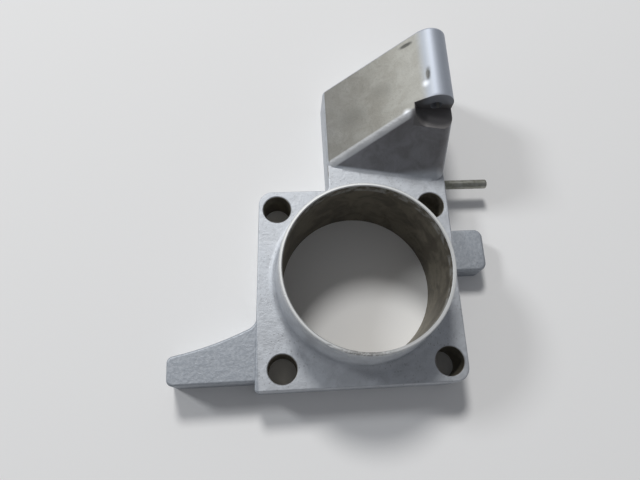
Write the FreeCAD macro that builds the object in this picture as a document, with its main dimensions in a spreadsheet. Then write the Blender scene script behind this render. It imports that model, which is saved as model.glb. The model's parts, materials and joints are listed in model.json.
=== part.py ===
import FreeCAD, Part
import math
import os
import Sketcher

# A one-piece die cast housing and the locating pin pressed into it, in millimetres.
# The origin is on the bore's axis, in the plane of the mounting face.
# +Z points up the bore, +X (east) to the pin and the tab, +Y (north) to the hood.

SIZES = {
    # bore and collar
    "bore_radius": 23.5,
    "collar_height": 16.6,          # rim above the flange's top face
    "rim_wall": 1.0,                # width of the turned land
    "collar_foot_wall": 2.0,        # the cast outside tapers out to this
    "collar_foot_round": 2.4,
    "rim_chamfer": 0.25,
    # flange; its sides are measured from the bolt holes' axes
    "flange_thickness": 12.2,
    "flange_west": 5.45,            # at the north-west corner
    "west_splay": 2.6,              # how much further out the south-west corner is
    "flange_east": 5.6,
    "flange_north": 6.0,
    "flange_south": 6.0,
    "corner_round": 4.3,
    "sharp_corner_round": 0.9,
    "top_edge_round": 0.5,
    # four bolt holes, square, a little south of the bore's axis
    "bolt_spacing": 48.6,
    "bolt_radius": 4.25,
    "hole_chamfer": 0.3,
    "bolt_pattern_drop": 0.9,
    # tapered arm at the south-west
    "arm_reach": 57.0,
    "arm_height": 11.5,
    "arm_south": 28.3,
    "arm_tip_north": 20.2,
    "arm_neck_west": 33.82,         # its north side is slightly hollow from the tip to here
    "arm_neck_north": 13.12,
    "arm_hollow_radius": 95.0,
    "arm_root_round": 4.5,          # then it sweeps round into the flange's west side
    "arm_root_turn": 79.0,          # degrees; the sweep ends at this angle, in the flange
    "arm_root_west": 25.25,         # the arm's end, well inside the flange
    "arm_root_north": 9.4,
    "arm_tip_round": 1.8,
    "arm_edge_round": 0.7,
    # tab at the east
    "tab_reach": 41.3,
    "tab_south": 2.8,
    "tab_north": 16.4,
    "tab_height": 7.5,
    "tab_corner_round": 2.6,
    "tab_edge_round": 0.8,
    # neck and hood
    "neck_west": 7.8,
    "neck_north": 38.0,             # the block's end, inside the hood's foot
    "neck_corner_round": 1.5,
    "nose_radius": 5.2,
    "nose_axis_height": 29.7,
    "nose_north": 73.2,
    "nose_flat_west": 21.0,         # the north side turns back from here
    "north_turn": 15.5,             # degrees
    "north_bend_round": 6.0,
    "south_turn": 9.6,              # degrees that the south wall is turned in plan
    "south_wall_foot": 35.75,       # from the bore's axis, square to the wall
    "south_lean": 34.9,             # degrees that the south wall leans back
    "crease_round": 3.4,
    "low_edge_round": 2.4,
    "north_edge_round": 1.1,
    "hood_foot_round": 1.6,
    "foot_west": 9.0,               # how far the foot's radius runs each way
    "foot_east": 20.0,
    "hood_wall": 2.4,
    "core_south": 39.5,             # the hood is cored from here on
    # milled seat across the nose's south end, with its screw hole
    "seat_north": 49.15,
    "seat_cutter_radius": 4.0,
    "seat_axis_height": 1.3,        # above the nose's axis
    "seat_west": 7.0,               # west of the nose's axis
    "seat_depth": 14.0,
    "screw_axis_east": 0.05,        # east of the nose's axis
    "screw_axis_height": 2.0,       # above the seat's floor
    "screw_hole_radius": 1.8,
    "screw_hole_depth": 14.0,
    # locating pin, pressed into the neck
    "pin_radius": 1.5,
    "pin_north": 32.8,
    "pin_height": 6.1,
    "pin_proud": 15.8,
    "pin_end_round": 0.6,
    "knurl_radius": 1.7,            # the pin's knurled end, which the neck grips
    "knurl_length": 8.0,
    "press_clearance": 0.0,
    # how far a cutting outline runs past the metal
    "overrun": 10.0,
}

doc = FreeCAD.newDocument("die_cast_housing")
sheet = doc.addObject("Spreadsheet::Sheet", "size")
for row, (alias, amount) in enumerate(SIZES.items(), start=1):
    sheet.set(f"A{row}", alias)
    sheet.set(f"B{row}", str(amount))
    sheet.setAlias(f"B{row}", alias)
doc.recompute()

# ------------------------------------------------------- sizes worked out of others

FLANGE_TOP = "size.flange_thickness"
RIM_TOP = "(size.flange_thickness + size.collar_height)"
BOLT_OUT = "size.bolt_spacing / 2"
WEST_SIDE = f"({BOLT_OUT} + size.flange_west)"
EAST_SIDE = f"({BOLT_OUT} + size.flange_east)"
NORTH_SIDE = f"({BOLT_OUT} - size.bolt_pattern_drop + size.flange_north)"
SOUTH_SIDE = f"({BOLT_OUT} + size.bolt_pattern_drop + size.flange_south)"
FLANGE_DEEP = f"({NORTH_SIDE} + {SOUTH_SIDE})"
NOSE_EAST = f"({EAST_SIDE} - size.nose_radius)"
NOSE_TOP = "(size.nose_axis_height + size.nose_radius)"
HOOD_LENGTH = f"(size.nose_north - {NORTH_SIDE})"
# places clear of the metal, where cutting outlines end
FAR_WEST = "(size.neck_west + size.overrun)"
FAR_EAST = f"({EAST_SIDE} + size.overrun)"
ABOVE = f"({NOSE_TOP} + size.overrun)"
# the sloping face runs from the flange's top at the west edge, tangent to the nose
NOSE_RUN = f"({NOSE_EAST} + size.neck_west)"
NOSE_RISE = "(size.nose_axis_height - size.flange_thickness)"
SLOPE = (f"(atan({NOSE_RISE} / {NOSE_RUN})"
         f" + asin(size.nose_radius / sqrt({NOSE_RUN}^2 + {NOSE_RISE}^2)))")
CORE_NOSE = "(size.nose_radius - size.hood_wall)"
SEAT_AXIS = "(size.nose_axis_height + size.seat_axis_height)"
# the arm's hollow side is an arc from tip to neck; this is its angle to the x axis at the neck
ARM_RUN = "(size.arm_reach - size.arm_neck_west)"
ARM_FALL = "(size.arm_tip_north - size.arm_neck_north)"
NECK_TURN = (f"(atan({ARM_FALL} / {ARM_RUN})"
             f" + asin(sqrt({ARM_RUN}^2 + {ARM_FALL}^2) / (2 * size.arm_hollow_radius)))")


def value(expression):
    """The number that an expression over the sheet's cells gives now."""
    return float(sheet.evalExpression(str(expression)))


# ---------------------------------------------------------------- sketch helpers

def new_sketch(body, name, plane, offset=None, turn=None):
    """A sketch on one of the body's own planes, moved along its normal, turned about its own y."""
    sketch = body.newObject("Sketcher::SketchObject", name)
    support = next(item for item in body.Origin.OriginFeatures if item.Role == plane)
    sketch.AttachmentSupport = [(support, "")]
    sketch.MapMode = "FlatFace"
    if offset is not None:
        sketch.setExpression("AttachmentOffset.Base.z", offset)
    if turn is not None:
        upright = FreeCAD.Rotation(FreeCAD.Vector(0, 1, 0), value(turn))
        sketch.AttachmentOffset = FreeCAD.Placement(FreeCAD.Vector(), upright)
        sketch.setExpression("AttachmentOffset.Rotation.Angle", turn)
    return sketch


def fix_point(sketch, geometry, point, x, y):
    """Holds one point of a sketch at x and y, two expressions."""
    for kind, expression in (("DistanceX", x), ("DistanceY", y)):
        constraint = Sketcher.Constraint(kind, -1, 1, geometry, point, value(expression))
        index = sketch.addConstraint(constraint)
        sketch.setExpression(f"Constraints[{index}]", str(expression))


def fix_radius(sketch, geometry, radius):
    index = sketch.addConstraint(Sketcher.Constraint("Radius", geometry, value(radius)))
    sketch.setExpression(f"Constraints[{index}]", str(radius))


def draw_outline(sketch, corners):
    """A closed outline. A corner is (x, y), or (x, y, radius, turn) if an arc leaves it.

    All but turn are expressions; turn is "left" or "right", the way the arc bends.
    """
    points = [FreeCAD.Vector(value(corner[0]), value(corner[1]), 0) for corner in corners]
    count = len(corners)
    leaving = []
    arriving = []
    for number, corner in enumerate(corners):
        start = points[number]
        end = points[(number + 1) % count]
        if len(corner) == 2:
            index = sketch.addGeometry(Part.LineSegment(start, end))
            leaving.append((index, 1))
            arriving.append((index, 2))
            continue
        radius = value(corner[2])
        chord = end - start
        side = -1 if corner[3] == "left" else 1
        bulge = radius - math.sqrt(radius ** 2 - chord.Length ** 2 / 4)
        middle = (start + end) * 0.5 + FreeCAD.Vector(-chord.y, chord.x, 0).normalize() * bulge * side
        if side < 0:
            index = sketch.addGeometry(Part.Arc(start, middle, end))
        else:
            index = sketch.addGeometry(Part.Arc(end, middle, start))
        leaving.append((index, 1 if side < 0 else 2))
        arriving.append((index, 2 if side < 0 else 1))
    for number in range(count):
        near = arriving[number - 1]
        far = leaving[number]
        sketch.addConstraint(Sketcher.Constraint("Coincident", near[0], near[1], far[0], far[1]))
    for number, corner in enumerate(corners):
        fix_point(sketch, leaving[number][0], leaving[number][1], corner[0], corner[1])
        if len(corner) > 2:
            fix_radius(sketch, leaving[number][0], corner[2])


def draw_circle(sketch, x, y, radius):
    """A circle whose centre and radius are expressions."""
    centre = FreeCAD.Vector(value(x), value(y), 0)
    index = sketch.addGeometry(Part.Circle(centre, FreeCAD.Vector(0, 0, 1), value(radius)))
    fix_point(sketch, index, 3, x, y)
    fix_radius(sketch, index, radius)


# --------------------------------------------------------------- feature helpers

LEAST_CUT = 0.001    # mm3 that a pocket has to remove


def add_pad(body, name, sketch, length, reverse=False):
    pad = body.newObject("PartDesign::Pad", name)
    pad.Profile = sketch
    pad.Reversed = reverse
    pad.setExpression("Length", length)
    doc.recompute()
    return pad


def add_pocket(body, name, sketch, length, reverse=False, both_sides=False):
    """Cuts a sketch's outline into the body, and makes sure that it removes something."""
    before = body.Shape.Volume
    pocket = body.newObject("PartDesign::Pocket", name)
    pocket.Profile = sketch
    pocket.Reversed = reverse
    if both_sides:
        pocket.SideType = "Symmetric"
    pocket.setExpression("Length", length)
    doc.recompute()
    if body.Shape.Volume > before - LEAST_CUT:
        raise RuntimeError(f"{name} removes nothing")
    return pocket


def add_edge_feature(body, name, kind, wanted, size_name, size):
    """A fillet or chamfer on the edges of the body's last feature that pass a test."""
    tip = body.Tip
    edges = [f"Edge{n}" for n, edge in enumerate(tip.Shape.Edges, start=1) if wanted(edge)]
    if not edges:
        raise RuntimeError(f"{name} finds no edge")
    feature = body.newObject(kind, name)
    feature.Base = (tip, edges)
    feature.setExpression(size_name, size)
    doc.recompute()
    if not feature.isValid() or not feature.Shape.isValid():
        raise RuntimeError(f"{name} can't be made on {len(edges)} edges")
    return feature


def add_round(body, name, wanted, radius):
    return add_edge_feature(body, name, "PartDesign::Fillet", wanted, "Radius", radius)


def add_chamfer(body, name, wanted, size):
    return add_edge_feature(body, name, "PartDesign::Chamfer", wanted, "Size", size)


# ------------------------------------------------------------------- edge choices

TOUCH = 0.02    # how near counts as lying on a plane or an axis


def edge_points(edge):
    """Start, middle and end of an edge."""
    first, last = edge.ParameterRange
    return [edge.valueAt(first + share * (last - first)) for share in (0.0, 0.5, 1.0)]


def in_plane(point, normal):
    """A test: the whole edge lies in the plane through a point."""
    unit = FreeCAD.Vector(*normal).normalize()
    base = FreeCAD.Vector(*point)
    return lambda edge: all(abs((p - base).dot(unit)) < TOUCH for p in edge_points(edge))


def upright_near(x, y, reach=TOUCH):
    """A test: an upright edge that stands within reach of a place in plan."""
    def test(edge):
        points = edge_points(edge)
        stands = abs(points[0].z - points[2].z) > reach
        same = math.hypot(points[0].x - points[2].x, points[0].y - points[2].y) < TOUCH
        return stands and same and math.hypot(points[0].x - x, points[0].y - y) < reach
    return test


def all_of(*tests):
    return lambda edge: all(test(edge) for test in tests)


def any_of(*tests):
    return lambda edge: any(test(edge) for test in tests)


def none_of(*tests):
    return lambda edge: not any(test(edge) for test in tests)


# ------------------------------------------------------------------- the casting

def build_flange(body):
    """The block that the rest stands on: flange and neck in one outline."""
    sketch = new_sketch(body, "flange_outline", "XY_Plane")
    draw_outline(sketch, [
        (f"-{WEST_SIDE} - size.west_splay", f"-{SOUTH_SIDE}"),
        (EAST_SIDE, f"-{SOUTH_SIDE}"),
        (EAST_SIDE, "size.neck_north"),
        ("-size.neck_west", "size.neck_north"),
        ("-size.neck_west", NORTH_SIDE),
        (f"-{WEST_SIDE}", NORTH_SIDE),
    ])
    add_pad(body, "flange_block", sketch, FLANGE_TOP)
    west = -value(WEST_SIDE)
    north = value(NORTH_SIDE)
    south = -value(SOUTH_SIDE)
    round_corners = any_of(upright_near(west, north), upright_near(value(EAST_SIDE), south))
    add_round(body, "flange_corners", round_corners, "size.corner_round")
    sharp_corner = upright_near(west - value("size.west_splay"), south)
    add_round(body, "south_west_corner", sharp_corner, "size.sharp_corner_round")
    neck_corner = upright_near(-value("size.neck_west"), north)
    add_round(body, "neck_corner", neck_corner, "size.neck_corner_round")
    top = in_plane((0, 0, value(FLANGE_TOP)), (0, 0, 1))
    neck_end = in_plane((0, value("size.neck_north"), 0), (0, 1, 0))
    add_round(body, "flange_top_edges", all_of(top, none_of(neck_end)), "size.top_edge_round")


def build_arm(body):
    """The tapered arm: a thick flat lever whose north side is slightly hollow.

    At its neck the hollow side runs smoothly into the sweep of its root.
    """
    sweep_x = f"-size.arm_neck_west + size.arm_root_round * (sin(size.arm_root_turn) - sin({NECK_TURN}))"
    sweep_y = f"-size.arm_neck_north + size.arm_root_round * (cos({NECK_TURN}) - cos(size.arm_root_turn))"
    sketch = new_sketch(body, "arm_outline", "XY_Plane")
    draw_outline(sketch, [
        ("-size.arm_reach", "-size.arm_south"),
        ("-size.arm_root_west", "-size.arm_south"),
        ("-size.arm_root_west", "-size.arm_root_north"),
        (sweep_x, sweep_y, "size.arm_root_round", "right"),
        ("-size.arm_neck_west", "-size.arm_neck_north", "size.arm_hollow_radius", "right"),
        ("-size.arm_reach", "-size.arm_tip_north"),
    ])
    add_pad(body, "arm_block", sketch, "size.arm_height")
    tip = -value("size.arm_reach")
    tip_corners = any_of(upright_near(tip, -value("size.arm_south")),
                         upright_near(tip, -value("size.arm_tip_north")))
    add_round(body, "arm_tip", tip_corners, "size.arm_tip_round")
    top = in_plane((0, 0, value("size.arm_height")), (0, 0, 1))
    inside = lambda edge: edge_points(edge)[1].x > value(sweep_x) + TOUCH
    add_round(body, "arm_edges", all_of(top, none_of(inside)), "size.arm_edge_round")


def build_tab(body):
    """The low square tab on the east side."""
    sketch = new_sketch(body, "tab_outline", "XY_Plane")
    draw_outline(sketch, [
        ("0", "size.tab_south"),
        ("size.tab_reach", "size.tab_south"),
        ("size.tab_reach", "size.tab_north"),
        ("0", "size.tab_north"),
    ])
    add_pad(body, "tab", sketch, "size.tab_height")
    reach = value("size.tab_reach")
    corners = any_of(upright_near(reach, value("size.tab_south")),
                     upright_near(reach, value("size.tab_north")))
    add_round(body, "tab_corners", corners, "size.tab_corner_round")
    top = in_plane((0, 0, value("size.tab_height")), (0, 0, 1))
    past_flange = lambda edge: edge_points(edge)[1].x > value(EAST_SIDE) + TOUCH
    add_round(body, "tab_edges", all_of(top, past_flange), "size.tab_edge_round")


def face_height(x):
    """Height of the sloping face's plane at x, an expression."""
    return f"({FLANGE_TOP} + (size.neck_west + {x}) * tan({SLOPE}))"


def north_line(x):
    """Where the turned north side stands at x, an expression."""
    return f"(size.nose_north - (size.nose_flat_west - {x}) * tan(size.north_turn))"


def wall_line(height, inward="0"):
    """Distance of the leaning south wall from the bore's axis at a height, an expression."""
    return (f"(size.south_wall_foot + {inward} / cos(size.south_lean)"
            f" + ({height} - {FLANGE_TOP}) * tan(size.south_lean))")


def south_plane():
    """A point and the normal of the hood's leaning south wall."""
    turn = math.radians(value("size.south_turn"))
    lean = math.radians(value("size.south_lean"))
    foot = value("size.south_wall_foot")
    point = (foot * math.sin(turn), foot * math.cos(turn), value(FLANGE_TOP))
    normal = (math.sin(turn) * math.cos(lean), math.cos(turn) * math.cos(lean), -math.sin(lean))
    return point, normal


def build_hood(body):
    """The hood: a sloping face that runs up into a round nose, between turned end walls.

    Its planes run on past the metal until the radii are made, then it is cut to size.
    """
    profile = new_sketch(body, "hood_profile", "XZ_Plane")
    draw_outline(profile, [
        (f"-{FAR_WEST}", "-size.overrun"),
        (EAST_SIDE, "-size.overrun"),
        (EAST_SIDE, face_height(EAST_SIDE)),
        (f"-{FAR_WEST}", face_height(f"(-{FAR_WEST})")),
    ])
    add_pad(body, "hood_block", profile, "size.nose_north", reverse=True)

    side = new_sketch(body, "south_side", "YZ_Plane", turn="-size.south_turn")
    draw_outline(side, [
        (f"-{ABOVE}", "-2 * size.overrun"),
        (wall_line("(-2 * size.overrun)"), "-2 * size.overrun"),
        (wall_line(f"(2 * {ABOVE})"), f"2 * {ABOVE}"),
        (f"-{ABOVE}", f"2 * {ABOVE}"),
    ])
    add_pocket(body, "south_wall", side, f"2 * {FLANGE_DEEP}", both_sides=True)

    slope = math.radians(value(SLOPE))
    face = in_plane((-value("size.neck_west"), 0, value(FLANGE_TOP)),
                    (-math.sin(slope), 0, math.cos(slope)))
    wall = in_plane(*south_plane())
    east = in_plane((value(EAST_SIDE), 0, 0), (1, 0, 0))
    add_round(body, "nose", all_of(face, east), "size.nose_radius")
    crease = any_of(all_of(face, wall), all_of(east, wall))
    add_round(body, "crease", crease, "size.crease_round")

    west = new_sketch(body, "west_side", "XY_Plane", "-2 * size.overrun")
    draw_outline(west, [
        ("-size.neck_west", "-size.overrun"),
        ("-size.neck_west", "size.nose_north + size.overrun"),
        (f"-2 * {FAR_WEST}", "size.nose_north + size.overrun"),
        (f"-2 * {FAR_WEST}", "-size.overrun"),
    ])
    add_pocket(body, "west_wall", west, f"2 * {ABOVE}", reverse=True)
    west_face = in_plane((-value("size.neck_west"), 0, 0), (1, 0, 0))
    add_round(body, "low_edge", all_of(face, west_face), "size.low_edge_round")

    trim = new_sketch(body, "north_side", "XY_Plane", "-2 * size.overrun")
    draw_outline(trim, [
        ("size.nose_flat_west", "size.nose_north"),
        ("size.nose_flat_west", "size.nose_north + size.overrun"),
        (f"-2 * {FAR_WEST}", "size.nose_north + size.overrun"),
        (f"-2 * {FAR_WEST}", north_line(f"(-2 * {FAR_WEST})")),
    ])
    add_pocket(body, "north_wall", trim, f"2 * {ABOVE}", reverse=True)
    bend = upright_near(value("size.nose_flat_west"), value("size.nose_north"))
    add_round(body, "north_bend", bend, "size.north_bend_round")
    north_face = in_plane((0, value("size.nose_north"), 0), (0, 1, 0))
    curved = lambda edge: not isinstance(edge.Curve, Part.Line)
    add_round(body, "north_edges", all_of(north_face, curved), "size.north_edge_round")

    under = new_sketch(body, "underside", "XY_Plane")
    draw_outline(under, [
        (f"-{FAR_WEST}", "-size.overrun"),
        (f"2 * {EAST_SIDE}", "-size.overrun"),
        (f"2 * {EAST_SIDE}", "size.nose_north + size.overrun"),
        (f"-{FAR_WEST}", "size.nose_north + size.overrun"),
    ])
    add_pocket(body, "mounting_plane", under, "3 * size.overrun")


def build_foot(body):
    """The small radius where the hood's south wall stands on the flange."""
    lean = "size.south_lean"
    foot_in = f"(size.hood_foot_round * (1 - sin({lean})) / cos({lean}))"
    arc_end = f"size.south_wall_foot - {foot_in} + size.hood_foot_round * cos({lean})"
    arc_end_up = f"{FLANGE_TOP} + size.hood_foot_round * (1 - sin({lean}))"
    side = new_sketch(body, "foot_profile", "YZ_Plane", turn="-size.south_turn")
    draw_outline(side, [
        (f"size.south_wall_foot - {foot_in}", FLANGE_TOP, "size.hood_foot_round", "left"),
        (arc_end, arc_end_up),
        ("size.south_wall_foot + size.hood_foot_round", arc_end_up),
        ("size.south_wall_foot + size.hood_foot_round", FLANGE_TOP),
    ])
    strip = add_pad(body, "foot", side, "size.foot_east")
    strip.SideType = "Two sides"
    strip.setExpression("Length2", "size.foot_west")
    doc.recompute()


def build_collar(body):
    """The thin collar: turned land on top, cast outside that widens to a rounded foot."""
    sketch = new_sketch(body, "collar_profile", "XZ_Plane")
    foot = "size.bore_radius + size.collar_foot_wall"
    draw_outline(sketch, [
        ("0", "0"),
        (foot + " + size.collar_foot_round", "0"),
        (foot + " + size.collar_foot_round", FLANGE_TOP, "size.collar_foot_round", "right"),
        (foot, f"{FLANGE_TOP} + size.collar_foot_round"),
        ("size.bore_radius + size.rim_wall", RIM_TOP),
        ("0", RIM_TOP),
    ])
    collar = body.newObject("PartDesign::Revolution", "collar")
    collar.Profile = sketch
    collar.ReferenceAxis = (sketch, ["V_Axis"])
    collar.Angle = 360.0
    doc.recompute()


def cut_bore_and_holes(body):
    """The bore, straight through collar and flange, and the four lightly countersunk holes."""
    bore = new_sketch(body, "bore_circle", "XY_Plane")
    draw_circle(bore, "0", "0", "size.bore_radius")
    add_pocket(body, "bore", bore, RIM_TOP, reverse=True)
    circles = new_sketch(body, "bolt_circles", "XY_Plane", FLANGE_TOP)
    for east in ("-", "+"):
        for north in ("-", "+"):
            draw_circle(circles, f"{east}{BOLT_OUT}", f"-size.bolt_pattern_drop {north} {BOLT_OUT}",
                        "size.bolt_radius")
    doc.recompute()
    holes = body.newObject("PartDesign::Hole", "bolt_holes")
    holes.Profile = circles
    doc.recompute()
    holes.DepthType = "ThroughAll"
    holes.setExpression("Diameter", "2 * size.bolt_radius")
    holes.HoleCutType = "Countersink"
    holes.setExpression("HoleCutDiameter", "2 * (size.bolt_radius + size.hole_chamfer)")
    holes.HoleCutCountersinkAngle = 90.0
    doc.recompute()
    rim = in_plane((0, 0, value(RIM_TOP)), (0, 0, 1))
    add_chamfer(body, "rim_edges", rim, "size.rim_chamfer")


def seat_outline(sketch, wall):
    """A slot, open to the east, whose round end is the cutter's; wall makes it wider."""
    radius = f"(size.seat_cutter_radius + {wall})"
    axis = f"({NOSE_EAST} - size.seat_west + size.seat_cutter_radius)"
    middle = SEAT_AXIS
    draw_outline(sketch, [
        (axis, f"{middle} + {radius}", radius, "left"),
        (f"{axis} - {radius}", middle, radius, "left"),
        (axis, f"{middle} - {radius}"),
        (FAR_EAST, f"{middle} - {radius}"),
        (FAR_EAST, f"{middle} + {radius}"),
    ])


def cut_nose(body):
    """The seat milled across the nose's south end, with its screw hole."""
    seat = new_sketch(body, "seat_slot", "XZ_Plane", "-size.seat_north")
    seat_outline(seat, "0")
    add_pocket(body, "seat", seat, "size.seat_depth", reverse=True)
    hole = new_sketch(body, "screw_circle", "XZ_Plane", "-size.seat_north")
    draw_circle(hole, f"{NOSE_EAST} + size.screw_axis_east",
                f"{SEAT_AXIS} - size.seat_cutter_radius + size.screw_axis_height", "size.screw_hole_radius")
    add_pocket(body, "screw_hole", hole, "size.screw_hole_depth")


def cut_pin_seat(body):
    """The blind hole that the locating pin's knurled end is pressed into."""
    seat = new_sketch(body, "pin_seat_circle", "YZ_Plane", EAST_SIDE)
    draw_circle(seat, "size.pin_north", "size.pin_height", "size.knurl_radius + size.press_clearance")
    add_pocket(body, "pin_seat", seat, "size.knurl_length")


# ------------------------------------------------------------------ the hood's core

def build_core(body):
    """The hollow under the hood, open at the mounting face, round the nose's solid boss."""
    profile = new_sketch(body, "core_profile", "XZ_Plane", "-size.core_south")
    wall = "size.hood_wall"
    low = f"({FLANGE_TOP} + {wall} * tan({SLOPE}) - {wall} / cos({SLOPE}))"
    high_x = f"({NOSE_EAST} - {CORE_NOSE} * sin({SLOPE}))"
    high_z = f"(size.nose_axis_height + {CORE_NOSE} * cos({SLOPE}))"
    draw_outline(profile, [
        (f"-size.neck_west + {wall}", "-size.overrun"),
        (f"{EAST_SIDE} - {wall}", "-size.overrun"),
        (f"{EAST_SIDE} - {wall}", "size.nose_axis_height"),
        (NOSE_EAST, "size.nose_axis_height"),
        (high_x, high_z),
        (f"-size.neck_west + {wall}", low),
    ])
    add_pad(body, "core_block", profile,
            f"size.nose_north - {wall} - size.core_south", reverse=True)

    boss = new_sketch(body, "boss_circle", "XZ_Plane", "-size.core_south")
    draw_circle(boss, NOSE_EAST, "size.nose_axis_height", "size.nose_radius")
    add_pocket(body, "boss", boss, HOOD_LENGTH)

    side = new_sketch(body, "core_south_side", "YZ_Plane", turn="-size.south_turn")
    draw_outline(side, [
        ("0", "0"),
        (wall_line("0", wall), "0"),
        (wall_line(ABOVE, wall), ABOVE),
        ("0", ABOVE),
    ])
    add_pocket(body, "core_south", side, f"2 * {FLANGE_DEEP}", both_sides=True)

    inward = f"({wall} / cos(size.north_turn))"
    trim = new_sketch(body, "core_north_side", "XY_Plane", "-size.overrun")
    draw_outline(trim, [
        (FAR_EAST, f"{north_line(FAR_EAST)} - {inward}"),
        (FAR_EAST, "size.nose_north + 2 * size.overrun"),
        (f"-{FAR_WEST}", "size.nose_north + 2 * size.overrun"),
        (f"-{FAR_WEST}", f"{north_line(f'(-{FAR_WEST})')} - {inward}"),
    ])
    add_pocket(body, "core_north", trim, f"{ABOVE} + size.overrun", reverse=True)

    sleeve = new_sketch(body, "sleeve_slot", "XZ_Plane", f"-size.seat_north - {wall}")
    seat_outline(sleeve, wall)
    add_pocket(body, "sleeve", sleeve, "2 * size.seat_depth", reverse=True)


# ----------------------------------------------------------------- bodies joined

hood = doc.addObject("PartDesign::Body", "hood")
build_hood(hood)
build_foot(hood)

arm = doc.addObject("PartDesign::Body", "arm")
build_arm(arm)

casting = doc.addObject("PartDesign::Body", "casting")
build_flange(casting)
build_tab(casting)
joined = casting.newObject("PartDesign::Boolean", "hood_and_arm_on_flange")
joined.setObjects([hood, arm])
joined.Type = "Fuse"
doc.recompute()
build_collar(casting)
cut_bore_and_holes(casting)
cut_nose(casting)
cut_pin_seat(casting)

core = doc.addObject("PartDesign::Body", "hood_core")
build_core(core)

housing = doc.addObject("Part::Cut", "housing")
housing.Label = "housing"
housing.Base = casting
housing.Tool = core
doc.recompute()

# -------------------------------------------------------------------- locating pin

pin = doc.addObject("PartDesign::Body", "locating_pin")
pin.Label = "locating_pin"
knurl_circle = new_sketch(pin, "knurl_circle", "YZ_Plane", f"{EAST_SIDE} - size.knurl_length")
draw_circle(knurl_circle, "size.pin_north", "size.pin_height", "size.knurl_radius")
add_pad(pin, "knurl", knurl_circle, "size.knurl_length")
rod_circle = new_sketch(pin, "rod_circle", "YZ_Plane", EAST_SIDE)
draw_circle(rod_circle, "size.pin_north", "size.pin_height", "size.pin_radius")
add_pad(pin, "rod", rod_circle, "size.pin_proud")
free_end = in_plane((value(f"{EAST_SIDE} + size.pin_proud"), 0, 0), (1, 0, 0))
add_round(pin, "pin_end", free_end, "size.pin_end_round")

# ------------------------------------------------------------------ checks, export

NODES = (housing, pin)

doc.recompute()
for item in doc.Objects:
    if any(word in item.State for word in ("Invalid", "Error")):
        raise RuntimeError(f"{item.Label} is {item.State}")
os.makedirs("parts", exist_ok=True)
for node in NODES:
    if node.Shape.isNull() or not node.Shape.isValid() or len(node.Shape.Solids) != 1:
        raise RuntimeError(f"{node.Label} isn't one valid solid")
    node.Shape.exportStep(f"parts/{node.Label}.step")
    box = node.Shape.BoundBox
    print(f"{node.Label}: {node.Shape.Volume:.1f} mm3, x {box.XMin:.2f} {box.XMax:.2f},"
          f" y {box.YMin:.2f} {box.YMax:.2f}, z {box.ZMin:.2f} {box.ZMax:.2f}")
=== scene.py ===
import json
import math

import bmesh
import bpy
import numpy as np
from mathutils import Matrix, Vector


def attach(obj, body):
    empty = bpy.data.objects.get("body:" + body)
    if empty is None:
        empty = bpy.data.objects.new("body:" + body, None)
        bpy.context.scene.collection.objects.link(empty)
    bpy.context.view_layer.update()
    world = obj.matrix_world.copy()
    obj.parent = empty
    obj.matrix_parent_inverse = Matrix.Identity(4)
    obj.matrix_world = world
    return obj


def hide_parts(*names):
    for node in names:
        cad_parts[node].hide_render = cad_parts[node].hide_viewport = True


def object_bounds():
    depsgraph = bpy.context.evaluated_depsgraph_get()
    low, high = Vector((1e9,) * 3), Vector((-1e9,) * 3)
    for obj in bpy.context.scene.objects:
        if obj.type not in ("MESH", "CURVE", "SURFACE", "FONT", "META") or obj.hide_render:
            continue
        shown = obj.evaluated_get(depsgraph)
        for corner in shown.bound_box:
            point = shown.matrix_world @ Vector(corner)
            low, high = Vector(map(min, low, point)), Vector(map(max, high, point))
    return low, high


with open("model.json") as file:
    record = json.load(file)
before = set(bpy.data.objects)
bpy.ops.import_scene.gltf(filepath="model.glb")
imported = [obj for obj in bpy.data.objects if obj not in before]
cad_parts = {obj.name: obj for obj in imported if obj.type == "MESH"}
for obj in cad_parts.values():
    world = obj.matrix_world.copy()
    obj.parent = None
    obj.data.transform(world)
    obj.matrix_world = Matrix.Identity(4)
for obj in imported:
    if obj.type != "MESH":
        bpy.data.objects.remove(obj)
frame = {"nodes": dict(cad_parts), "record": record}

cad_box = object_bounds()
MM = 0.001

# ------------------------------------------------- places on the part, in millimetres

mounts = {mount["name"]: mount for mount in frame["record"]["mounts"]}
BORE = mounts["main_bore"]["dims"]["r_mm"]
RIM_TOP = mounts["main_bore"]["dims"]["length_mm"]
RIM_WIDTH = 1.0
BOLT_RADIUS = mounts["flange_bolts"]["dims"]["hole_r_mm"]
BOLT_OUT = mounts["flange_bolts"]["dims"]["spacing_x_mm"] / 2
BOLT_DROP = mounts["flange_bolts"]["pos_m"][1] / MM
FLANGE_TOP = 12.2
FLANGE_SOUTH = -31.2
ARM_TOP = 11.5
ARM_ROOT = -31.2
TAB_ROOT = 31.4
NOSE_X = 24.7
NOSE_Z = 29.7
HOOD_SOUTH = 34.0
SEAT_WEST = 17.5
SEAT_NORTH = 49.15
SEAT_FLOOR = 27.0
HOOD_SLOPE = math.radians(36.4)
WALL_TURN = math.radians(9.6)
WALL_LEAN = math.radians(34.9)
FACE_NORMAL = (-math.sin(HOOD_SLOPE), 0.0, math.cos(HOOD_SLOPE))
WALL_NORMAL = (-math.sin(WALL_TURN) * math.cos(WALL_LEAN),
               -math.cos(WALL_TURN) * math.cos(WALL_LEAN), math.sin(WALL_LEAN))
CREASE_NORMAL = tuple((Vector(FACE_NORMAL) + Vector(WALL_NORMAL)).normalized())

# ---------------------------------------------------------------- colours, as linear RGB

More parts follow.
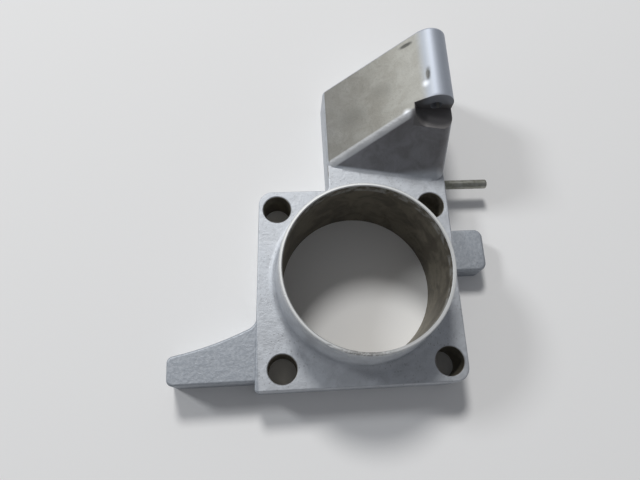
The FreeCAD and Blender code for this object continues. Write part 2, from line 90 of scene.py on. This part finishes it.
SKIN_DULL, SKIN_FRESH = (0.44, 0.46, 0.49), (0.53, 0.555, 0.59)
SKIN_GRAIN, SKIN_GLINT = (0.30, 0.31, 0.33), (0.68, 0.69, 0.70)
# a darker grey for the arm and the tab
ARM_AND_TAB_GREY = (0.31, 0.335, 0.37)
PIT = (0.18, 0.18, 0.18)
# the hood face's darker grey: partly real dirt, partly painted shade for its west-leaning slope
FACE_DIRT_AND_SHADE_DARK, FACE_DIRT_AND_SHADE_LIGHT = (0.29, 0.28, 0.245), (0.37, 0.365, 0.33)
DIRT_GRAIN, DIRT_STAIN = (0.21, 0.20, 0.175), (0.17, 0.165, 0.14)
# painted shade and painted light: the hood face's gradient from its low west end to its high east end
FACE_WEST_PAINTED_SHADE, FACE_EAST_PAINTED_LIGHT = (0.15, 0.15, 0.145), (0.52, 0.52, 0.49)
# painted shade on the hood's south wall
WALL_PAINTED_SHADE = (0.19, 0.185, 0.19)
# painted shade in the seat under the nose
SEAT_PAINTED_SHADE = (0.16, 0.155, 0.155)
# painted highlight along the rounded crease
CREASE_PAINTED_HIGHLIGHT = (0.56, 0.57, 0.58)
OIL_DARK, OIL_LIGHT = (0.13, 0.115, 0.09), (0.24, 0.22, 0.175)
TURNED_BARE = (0.62, 0.63, 0.63)
# painted blue light: a bluish tint on the nose
NOSE_PAINTED_BLUE_LIGHT = (0.40, 0.44, 0.51)
RIM_BRIGHT, RIM_RUBBED = (0.66, 0.67, 0.67), (0.20, 0.19, 0.18)
# the second colour is a painted highlight for small glints
GOUGE, PAINTED_GLINT = (0.11, 0.11, 0.10), (0.74, 0.76, 0.79)
STEEL_OILED, STEEL_CLEAN = (0.24, 0.24, 0.20), (0.38, 0.38, 0.35)


# ------------------------------------------------------------------ material tools

class Finish:
    """A material's node tree, with short ways to add and join nodes. Its lengths are in mm."""

    def __init__(self, name):
        self.material = bpy.data.materials.new(name)
        self.material.use_nodes = True
        self.nodes = self.material.node_tree.nodes
        self.links = self.material.node_tree.links
        self.nodes.clear()
        self.shader = self.nodes.new("ShaderNodeBsdfPrincipled")
        output = self.nodes.new("ShaderNodeOutputMaterial")
        self.links.new(self.shader.outputs["BSDF"], output.inputs["Surface"])
        coordinate = self.nodes.new("ShaderNodeTexCoord")
        grown = self.nodes.new("ShaderNodeVectorMath")
        grown.operation = "SCALE"
        grown.inputs["Scale"].default_value = 1.0 / MM
        self.links.new(coordinate.outputs["Object"], grown.inputs[0])
        self.place = grown.outputs[0]
        self.normal = coordinate.outputs["Normal"]
        split = self.nodes.new("ShaderNodeSeparateXYZ")
        self.links.new(self.place, split.inputs[0])
        self.x, self.y, self.z = split.outputs

    def join(self, source, target):
        if hasattr(source, "is_output"):
            self.links.new(source, target)
        else:
            target.default_value = source

    def math(self, kind, first, second=0.0):
        node = self.nodes.new("ShaderNodeMath")
        node.operation = kind
        self.join(first, node.inputs[0])
        self.join(second, node.inputs[1])
        return node.outputs[0]

    def all_of(self, *masks):
        product = masks[0]
        for mask in masks[1:]:
            product = self.math("MULTIPLY", product, mask)
        return product

    def any_of(self, *masks):
        highest = masks[0]
        for mask in masks[1:]:
            highest = self.math("MAXIMUM", highest, mask)
        return highest

    def step(self, value, low, high, to_low=0.0, to_high=1.0, ease="SMOOTHSTEP"):
        """value remapped from low..high to to_low..to_high, and held at both ends."""
        node = self.nodes.new("ShaderNodeMapRange")
        node.interpolation_type = ease
        node.inputs["From Min"].default_value = low
        node.inputs["From Max"].default_value = high
        node.inputs["To Min"].default_value = to_low
        node.inputs["To Max"].default_value = to_high
        self.join(value, node.inputs["Value"])
        return node.outputs["Result"]

    def over(self, value, edge, soft=0.1):
        """1 where value is over edge, with a soft change."""
        return self.step(value, edge - soft, edge + soft)

    def under(self, value, edge, soft=0.1):
        return self.step(value, edge - soft, edge + soft, 1.0, 0.0)

    def from_axis(self, x=0.0, y=0.0):
        """Distance from an upright axis."""
        east = self.math("SUBTRACT", self.x, x)
        north = self.math("SUBTRACT", self.y, y)
        square = self.math("ADD", self.math("MULTIPLY", east, east), self.math("MULTIPLY", north, north))
        return self.math("SQRT", square)

    def facing(self, normal, width):
        """1 where the surface faces along a normal, falling to 0 at width radians from it."""
        dot = self.nodes.new("ShaderNodeVectorMath")
        dot.operation = "DOT_PRODUCT"
        dot.inputs[1].default_value = normal
        self.links.new(self.normal, dot.inputs[0])
        return self.step(dot.outputs["Value"], math.cos(width), math.cos(width / 2))

    def ball(self, centre, size):
        """1 at a place on the part, falling to 0 at size from it; size may differ per axis."""
        sizes = size if isinstance(size, tuple) else (size,) * 3
        node = self.nodes.new("ShaderNodeMapping")
        node.inputs["Scale"].default_value = [1.0 / length for length in sizes]
        node.inputs["Location"].default_value = [-c / length for c, length in zip(centre, sizes)]
        self.links.new(self.place, node.inputs["Vector"])
        length = self.nodes.new("ShaderNodeVectorMath")
        length.operation = "LENGTH"
        self.links.new(node.outputs[0], length.inputs[0])
        return self.step(length.outputs["Value"], 0.0, 1.0, 1.0, 0.0)

    def streak(self, start, end, width):
        """1 on a straight line between two places on the part, falling to 0 at width from it."""
        run = Vector(end) - Vector(start)
        away = self.nodes.new("ShaderNodeVectorMath")
        away.operation = "SUBTRACT"
        self.links.new(self.place, away.inputs[0])
        away.inputs[1].default_value = start
        along = self.nodes.new("ShaderNodeVectorMath")
        along.operation = "DOT_PRODUCT"
        self.links.new(away.outputs[0], along.inputs[0])
        along.inputs[1].default_value = run / run.length_squared
        share = self.step(along.outputs["Value"], 0.0, 1.0, ease="LINEAR")
        nearest = self.nodes.new("ShaderNodeVectorMath")
        nearest.operation = "SCALE"
        nearest.inputs[0].default_value = run
        self.links.new(share, nearest.inputs["Scale"])
        gap = self.nodes.new("ShaderNodeVectorMath")
        gap.operation = "DISTANCE"
        self.links.new(away.outputs[0], gap.inputs[0])
        self.links.new(nearest.outputs[0], gap.inputs[1])
        return self.step(gap.outputs["Value"], 0.0, width, 1.0, 0.0)

    def stretch(self, scale):
        node = self.nodes.new("ShaderNodeMapping")
        node.inputs["Scale"].default_value = scale
        self.links.new(self.place, node.inputs["Vector"])
        return node.outputs[0]

    def noise(self, size, detail=4.0, rough=0.55, warp=0.0, place=None):
        """Noise whose lumps are about size across, from 0 to 1."""
        node = self.nodes.new("ShaderNodeTexNoise")
        node.inputs["Scale"].default_value = 1.0 / size
        node.inputs["Detail"].default_value = detail
        node.inputs["Roughness"].default_value = rough
        node.inputs["Distortion"].default_value = warp
        self.links.new(place or self.place, node.inputs["Vector"])
        return node.outputs["Fac"]

    def cells(self, size):
        """Distance to the nearest of scattered points about size apart, from 0 to about 1."""
        node = self.nodes.new("ShaderNodeTexVoronoi")
        node.inputs["Scale"].default_value = 1.0 / size
        self.links.new(self.place, node.inputs["Vector"])
        return node.outputs["Distance"]

    def blend(self, share, first, second):
        """A mix of two colours or two numbers."""
        node = self.nodes.new("ShaderNodeMix")
        numbers = isinstance(second, float)
        node.data_type = "FLOAT" if numbers else "RGBA"
        self.join(share, node.inputs["Factor"])
        sockets = (node.inputs[2], node.inputs[3]) if numbers else (node.inputs[6], node.inputs[7])
        for value, socket in zip((first, second), sockets):
            if isinstance(value, tuple):
                socket.default_value = (*value, 1.0)
            else:
                self.join(value, socket)
        return node.outputs[0] if numbers else node.outputs[2]

    def bump(self, height, depth, under=None, share=1.0):
        """Turns a height from 0 to 1 into relief of a depth in mm, on top of another relief."""
        node = self.nodes.new("ShaderNodeBump")
        node.inputs["Distance"].default_value = depth * MM
        self.join(share, node.inputs["Strength"])
        self.links.new(height, node.inputs["Height"])
        if under is not None:
            self.links.new(under, node.inputs["Normal"])
        return node.outputs[0]


# --------------------------------------------------------------------- the finishes

def cast_aluminium():
    """Raw die casting, grey and finely grained; darker on the hood from dirt and painted shade, with
    painted shade on the south wall and in the seat, a painted highlight on the crease, a painted blue light
    on the nose and painted glints; machined at rim and seat.
    """
    f = Finish("cast_aluminium")
    radius = f.from_axis()
    broad = f.noise(16.0, 3.0, 0.6, 0.3)
    cloud = f.noise(5.0, 5.0, 0.6, 0.6)
    grain = f.noise(0.9, 4.0, 0.62)
    fine = f.noise(0.22, 2.0, 0.5)
    pits = f.under(f.cells(1.1), 0.16, 0.07)

    # where each finish lies
    on_collar = f.under(radius, BORE + 4.5, 0.5)
    rim = f.all_of(f.under(radius, BORE + RIM_WIDTH + 0.6), f.over(f.z, RIM_TOP - 0.3, 0.06))
    turned = f.all_of(f.under(radius, BORE + 3.0), f.over(f.z, RIM_TOP - 3.6, 0.5))
    bore = f.under(radius, BORE + 0.12, 0.05)
    north = f.over(f.y, HOOD_SOUTH, 1.0)
    face = f.all_of(f.facing(FACE_NORMAL, 0.35), north)
    wall = f.all_of(f.facing(WALL_NORMAL, 1.30), north, f.over(f.z, FLANGE_TOP + 0.7, 0.4))
    crease = f.all_of(f.facing(CREASE_NORMAL, 0.46), north, f.under(f.x, SEAT_WEST - 0.9, 0.8))
    arm_and_tab = f.any_of(f.under(f.x, ARM_ROOT, 0.25), f.over(f.x, TAB_ROOT, 0.25))
    nose = f.all_of(f.over(f.x, NOSE_X - 4.0, 1.4), f.over(f.z, NOSE_Z, 1.0), f.over(f.y, SEAT_NORTH, 0.2))
    seat = f.all_of(f.under(f.y, SEAT_NORTH + 0.1, 0.1), north, f.over(f.x, SEAT_WEST, 0.2),
                    f.over(f.z, SEAT_FLOOR - 0.05, 0.05))
    holes = f.any_of(*[f.under(f.from_axis(east * BOLT_OUT, BOLT_DROP + side * BOLT_OUT),
                               BOLT_RADIUS + 0.08, 0.05)
                       for east in (-1, 1) for side in (-1, 1)])

    # marks: a scratch and stains on the hood's face, a painted highlight dot on the crease and at the
    # dent's lip, a worn stretch of rim
    scratch = f.all_of(f.streak((14.8, 69.1, 28.8), (18.6, 69.8, 31.6), 0.9),
                       f.ball((17.1, 69.6, 30.5), 3.4), 1.5)
    dent = f.all_of(f.streak((22.0, 59.6, 34.2), (21.7, 55.4, 34.0), 1.1),
                    f.ball((21.9, 57.0, 34.1), 3.2), 1.4)
    # painted highlight at the dent's lip
    dent_lip_painted_highlight = f.all_of(f.ball((21.0, 54.0, 33.4), 1.7), 0.7)
    stain = f.any_of(f.ball((0.5, 51.5, 18.4), (7.0, 6.0, 9.0)), f.ball((9.5, 57.0, 25.0), (6.0, 4.5, 7.0)))
    # painted highlight dot on the crease
    crease_painted_highlight = f.all_of(f.ball((15.5, 46.6, 29.2), 1.9), 0.8)
    rubbed = f.all_of(rim, f.ball((-3.5, -24.0, RIM_TOP), (13.0, 3.5, 2.0)), f.over(grain, 0.46, 0.12))

    # colour: the cast skin, then dirt and painted shade and light on the hood's face, painted shade on the
    # south wall and in the seat, a painted highlight on the crease, tarnish, bare metal, a painted blue
    # light on the nose and painted glints
    skin = f.blend(f.step(cloud, 0.34, 0.68), SKIN_DULL, SKIN_FRESH)
    skin = f.blend(f.step(grain, 0.54, 0.74, 0.0, 0.45), skin, SKIN_GRAIN)
    skin = f.blend(f.step(fine, 0.58, 0.72, 0.0, 0.30), skin, SKIN_GLINT)
    # the arm and the tab are made darker grey
    skin = f.blend(f.all_of(arm_and_tab, f.step(grain, 0.36, 0.62, 0.60, 0.95)), skin, ARM_AND_TAB_GREY)
    skin = f.blend(f.all_of(pits, f.step(broad, 0.45, 0.6, 0.0, 0.6)), skin, PIT)
    # the hood's face: mottled dirt and stains, darker overall as painted shade for its slope
    face_dirt_and_shade = f.blend(f.step(cloud, 0.32, 0.68), FACE_DIRT_AND_SHADE_DARK, FACE_DIRT_AND_SHADE_LIGHT)
    face_dirt_and_shade = f.blend(f.step(grain, 0.50, 0.70, 0.0, 0.40), face_dirt_and_shade, DIRT_GRAIN)
    face_dirt_and_shade = f.blend(f.all_of(stain, f.step(cloud, 0.35, 0.6, 0.2, 0.7)), face_dirt_and_shade, DIRT_STAIN)
    # painted shade: the hood's face darkens towards its low west end
    face_dirt_and_shade = f.blend(f.step(f.x, -8.0, 18.0, 0.55, 0.05), face_dirt_and_shade, FACE_WEST_PAINTED_SHADE)
    # painted shade: the hood's south wall is darkened
    skin = f.blend(f.all_of(wall, f.step(cloud, 0.3, 0.7, 0.80, 1.0)), skin, WALL_PAINTED_SHADE)
    # painted light: the hood's face lightens towards its high east end
    face_dirt_and_shade = f.blend(f.step(f.x, 4.0, 20.0, 0.0, 0.40), face_dirt_and_shade, FACE_EAST_PAINTED_LIGHT)
    # the hood's face takes its dirt and painted shade
    skin = f.blend(f.all_of(face, f.step(broad, 0.25, 0.5, 0.85, 1.0)), skin, face_dirt_and_shade)
    # painted highlight: the crease's rounded band is lightened
    skin = f.blend(f.all_of(crease, f.step(cloud, 0.3, 0.6, 0.75, 0.95)), skin, CREASE_PAINTED_HIGHLIGHT)
    tarnish = f.blend(f.step(cloud, 0.35, 0.65), OIL_DARK, OIL_LIGHT)
    skin = f.blend(f.any_of(bore, holes), skin, tarnish)
    # painted shade: the seat is darkened
    skin = f.blend(seat, skin, SEAT_PAINTED_SHADE)
    worn = f.all_of(turned, f.step(f.noise(2.4, 5.0, 0.65), 0.42, 0.60))
    skin = f.blend(f.all_of(worn, 0.5), skin, TURNED_BARE)
    # painted blue light: the nose is tinted bluish
    skin = f.blend(f.all_of(nose, 0.75), skin, NOSE_PAINTED_BLUE_LIGHT)
    skin = f.blend(rim, skin, RIM_BRIGHT)
    skin = f.blend(f.all_of(rubbed, 0.8), skin, RIM_RUBBED)
    gouged = f.math("MINIMUM", f.all_of(f.any_of(scratch, dent), f.step(grain, 0.3, 0.6, 0.8, 1.1)), 0.9)
    skin = f.blend(gouged, skin, GOUGE)
    # painted highlights: glints on the crease and at the dent's lip
    skin = f.blend(f.any_of(crease_painted_highlight, dent_lip_painted_highlight), skin, PAINTED_GLINT)
    f.join(skin, f.shader.inputs["Base Color"])
    f.shader.inputs["Metallic"].default_value = 0.62

    # roughness: dull skin, smoother nose, bright rim
    rough = f.step(cloud, 0.3, 0.7, 0.50, 0.62)
    rough = f.blend(face, rough, 0.64)
    rough = f.blend(nose, rough, 0.56)
    rough = f.blend(f.any_of(crease_painted_highlight, dent_lip_painted_highlight), rough, 0.38)
    rough = f.blend(rim, rough, 0.47)
    f.join(rough, f.shader.inputs["Roughness"])

    # relief: a cast skin's grain, fading on machined metal, and turning rings on the collar
    cast = f.math("SUBTRACT", 1.0, f.any_of(rim, seat, f.all_of(nose, 0.85), bore))
    rings = f.math("SINE", f.math("MULTIPLY", f.z, 14.0))
    relief = f.bump(cloud, 0.10, share=cast)
    relief = f.bump(grain, 0.09, relief, cast)
    relief = f.bump(fine, 0.03, relief, cast)
    relief = f.bump(f.math("SUBTRACT", 1.0, f.any_of(scratch, dent)), 0.15, relief)
    relief = f.bump(f.step(rings, -1.0, 1.0), 0.012, relief, f.all_of(on_collar, f.any_of(bore, turned)))
    f.join(relief, f.shader.inputs["Normal"])
    return f.material


def pin_steel():
    """Ground steel pin, dulled by oil."""
    f = Finish("pin_steel")
    along = f.noise(0.4, 3.0, 0.6, 0.0, f.stretch((0.15, 1.0, 1.0)))
    stain = f.noise(2.2, 4.0, 0.6, 0.5)
    colour = f.blend(f.step(stain, 0.35, 0.7), STEEL_OILED, STEEL_CLEAN)
    f.join(colour, f.shader.inputs["Base Color"])
    f.shader.inputs["Metallic"].default_value = 0.95
    f.join(f.step(along, 0.3, 0.7, 0.30, 0.45), f.shader.inputs["Roughness"])
    f.join(f.bump(along, 0.01), f.shader.inputs["Normal"])
    return f.material


# ------------------------------------------------------------------ the worn casting

def blobs(marks):
    """Closed lumps that wear takes away: each is a sphere's two-angle grid, stretched and turned.

    A mark is (centre, half sizes, turn about z in degrees). A point of the grid is
    centre + turn * (a cos u sin v, b sin u sin v, c cos v).
    """
    across, down = 20, 11
    u = np.linspace(0.0, 2 * np.pi, across, endpoint=False)
    v = np.linspace(0.0, np.pi, down)[1:-1]
    ring_u, ring_v = np.meshgrid(u, v)
    sphere = np.stack([np.cos(ring_u) * np.sin(ring_v), np.sin(ring_u) * np.sin(ring_v),
                       np.cos(ring_v)], axis=-1).reshape(-1, 3)
    sphere = np.vstack([sphere, [[0, 0, 1]], [[0, 0, -1]]])
    rows = down - 2
    top, bottom = rows * across, rows * across + 1
    faces = [(top, i, (i + 1) % across) for i in range(across)]
    faces += [(r * across + i, (r + 1) * across + i, (r + 1) * across + (i + 1) % across,
               r * across + (i + 1) % across) for r in range(rows - 1) for i in range(across)]
    faces += [(bottom, (rows - 1) * across + (i + 1) % across, (rows - 1) * across + i)
              for i in range(across)]
    points, polygons = [], []
    for number, (centre, sizes, turn) in enumerate(marks):
        angle = math.radians(turn)
        spin = np.array([[math.cos(angle), -math.sin(angle), 0],
                         [math.sin(angle), math.cos(angle), 0], [0, 0, 1]])
        points.append((sphere * sizes) @ spin.T + centre)
        first = number * len(sphere)
        polygons += [tuple(first + corner for corner in face) for face in faces]
    mesh = bpy.data.meshes.new("wear")
    mesh.from_pydata((np.vstack(points) * MM).tolist(), [], polygons)
    return mesh


def wear_marks():
    """Nicks round the rim, notches in the arm's edge and dings elsewhere."""
    marks = []
    rim = BORE + RIM_WIDTH
    for degrees, wide, deep in ((241, 1.2, 0.30), (249, 0.5, 0.20), (257, 0.9, 0.25), (268, 0.4, 0.18),
                                (279, 0.6, 0.20), (123, 0.4, 0.16), (92, 0.5, 0.16), (198, 0.35, 0.15)):
        angle = math.radians(degrees)
        place = (rim * math.cos(angle), rim * math.sin(angle), RIM_TOP + 0.15)
        marks.append((place, (0.55, wide, deep + 0.15), degrees))
    marks.append(((-41.6, -15.75, ARM_TOP + 0.1), (0.45, 0.8, 0.55), 20))
    marks.append(((-36.6, -14.05, ARM_TOP + 0.1), (0.4, 0.6, 0.45), 20))
    marks.append(((-34.2, -13.1, ARM_TOP + 0.1), (0.35, 0.6, 0.45), 20))
    marks.append(((-50.0, -28.35, ARM_TOP - 0.05), (0.7, 0.3, 0.35), 0))
    marks.append(((5.0, FLANGE_SOUTH - 0.05, FLANGE_TOP), (0.9, 0.25, 0.3), 0))
    return marks


def settle(item):
    """Puts a piece's modifiers into its mesh."""
    bpy.context.view_layer.update()
    finished = bpy.data.meshes.new_from_object(item.evaluated_get(bpy.context.evaluated_depsgraph_get()))
    item.modifiers.clear()
    item.data = finished


def crease_edges(mesh):
    """Marks an edge sharp where it turns hard, and between two broad faces that turn at all."""
    hard, slight, broad = math.radians(28), math.radians(1), 12 * MM ** 2
    shell = bmesh.new()
    shell.from_mesh(mesh)
    for edge in shell.edges:
        turn = edge.calc_face_angle(0.0)
        least = min(face.calc_area() for face in edge.link_faces)
        edge.smooth = not (turn > hard or (turn > slight and least > broad))
    shell.to_mesh(mesh)
    shell.free()
    mesh.shade_smooth()


def worn_casting():
    """The casting's own surface with smooth curves, less the lumps that wear took away."""
    touching, level = 0.002 * MM, math.radians(0.05)
    mesh = frame["nodes"]["housing"].data.copy()
    mesh.name = "worn_casting"
    shell = bmesh.new()
    shell.from_mesh(mesh)
    bmesh.ops.remove_doubles(shell, verts=shell.verts, dist=touching)
    bmesh.ops.dissolve_limit(shell, angle_limit=level, verts=shell.verts, edges=shell.edges)
    shell.to_mesh(mesh)
    shell.free()
    casting = bpy.data.objects.new("worn_casting", mesh)
    bpy.context.collection.objects.link(casting)
    cutter = bpy.data.objects.new("wear_cutter", blobs(wear_marks()))
    bpy.context.collection.objects.link(cutter)
    cut = casting.modifiers.new("wear", "BOOLEAN")
    cut.operation = "DIFFERENCE"
    cut.solver = "EXACT"
    cut.object = cutter
    settle(casting)
    bpy.data.objects.remove(cutter)
    crease_edges(casting.data)
    even = casting.modifiers.new("flat_stays_flat", "WEIGHTED_NORMAL")
    even.weight = 100
    even.keep_sharp = True
    settle(casting)
    casting.data.materials.clear()
    casting.data.materials.append(cast_aluminium())
    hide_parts("housing")
    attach(casting, "root")


def dress(node, material):
    node.data.materials.clear()
    node.data.materials.append(material)


worn_casting()
dress(frame["nodes"]["locating_pin"], pin_steel())


# ------------------------------------------------------------- floor, lamps, camera

def lay_floor():
    """A wide pale floor, a hair under the mounting face."""
    reach = 8.0
    height = cad_box[0][2] - 0.02 * MM
    mesh = bpy.data.meshes.new("floor")
    mesh.from_pydata([(-reach, -reach, height), (reach, -reach, height), (reach, reach, height),
                      (-reach, reach, height)], [], [(0, 1, 2, 3)])
    floor = bpy.data.objects.new("floor", mesh)
    bpy.context.collection.objects.link(floor)
    material = bpy.data.materials.new("pale_floor")
    material.use_nodes = True
    shader = material.node_tree.nodes["Principled BSDF"]
    shader.inputs["Base Color"].default_value = (0.80, 0.80, 0.80, 1)
    shader.inputs["Roughness"].default_value = 0.9
    shader.inputs["Specular IOR Level"].default_value = 0.1
    mesh.materials.append(material)


def hang_lamp(name, place, size, watts, colour):
    """A round soft lamp that looks at the bore's rim."""
    lamp = bpy.data.lights.new(name, "AREA")
    lamp.shape = "DISK"
    lamp.size = size
    lamp.energy = watts
    lamp.color = colour
    item = bpy.data.objects.new(name, lamp)
    item.location = place
    target = Vector((0.0, 0.02, 0.01))
    item.rotation_euler = (target - Vector(place)).to_track_quat("-Z", "Y").to_euler()
    bpy.context.collection.objects.link(item)


def light_room():
    world = bpy.data.worlds.new("studio")
    bpy.context.scene.world = world
    world.use_nodes = True
    background = world.node_tree.nodes["Background"]
    background.inputs["Color"].default_value = (0.93, 0.95, 1.0, 1)
    background.inputs["Strength"].default_value = 0.24
    hang_lamp("north_key", (-0.22, 1.12, 1.35), 0.38, 17.5, (1.0, 0.99, 0.97))
    hang_lamp("north_west_fill", (-1.12, 0.62, 1.00), 0.30, 8.0, (0.96, 0.98, 1.0))


def aim_camera():
    """A camera above and a little south-west of the bore, rolled, as a hand would hold it."""
    lift, swing, roll = math.radians(71.5), math.radians(-13.8), math.radians(11.2)
    back = Vector((math.sin(swing) * math.cos(lift), -math.cos(swing) * math.cos(lift), math.sin(lift)))
    level = Vector((math.cos(swing), math.sin(swing), 0.0))
    upward = level.cross(-back)
    right = level * math.cos(roll) + upward * math.sin(roll)
    up = upward * math.cos(roll) - level * math.sin(roll)
    distance, slide_left, slide_up = 0.168495, 0.012186, 0.011975
    aim = Vector((0.0, 0.0, FLANGE_TOP * MM))
    place = aim + back * distance - right * slide_left + up * slide_up
    camera = bpy.data.cameras.new("camera")
    camera.sensor_width = 36.0
    camera.lens = 31.5
    camera.clip_start = 0.005
    item = bpy.data.objects.new("camera", camera)
    turn = Matrix((right, up, back)).transposed().to_4x4()
    item.matrix_world = Matrix.Translation(place) @ turn
    bpy.context.collection.objects.link(item)
    bpy.context.scene.camera = item


lay_floor()
light_room()
aim_camera()
bpy.context.scene.view_settings.view_transform = "Standard"
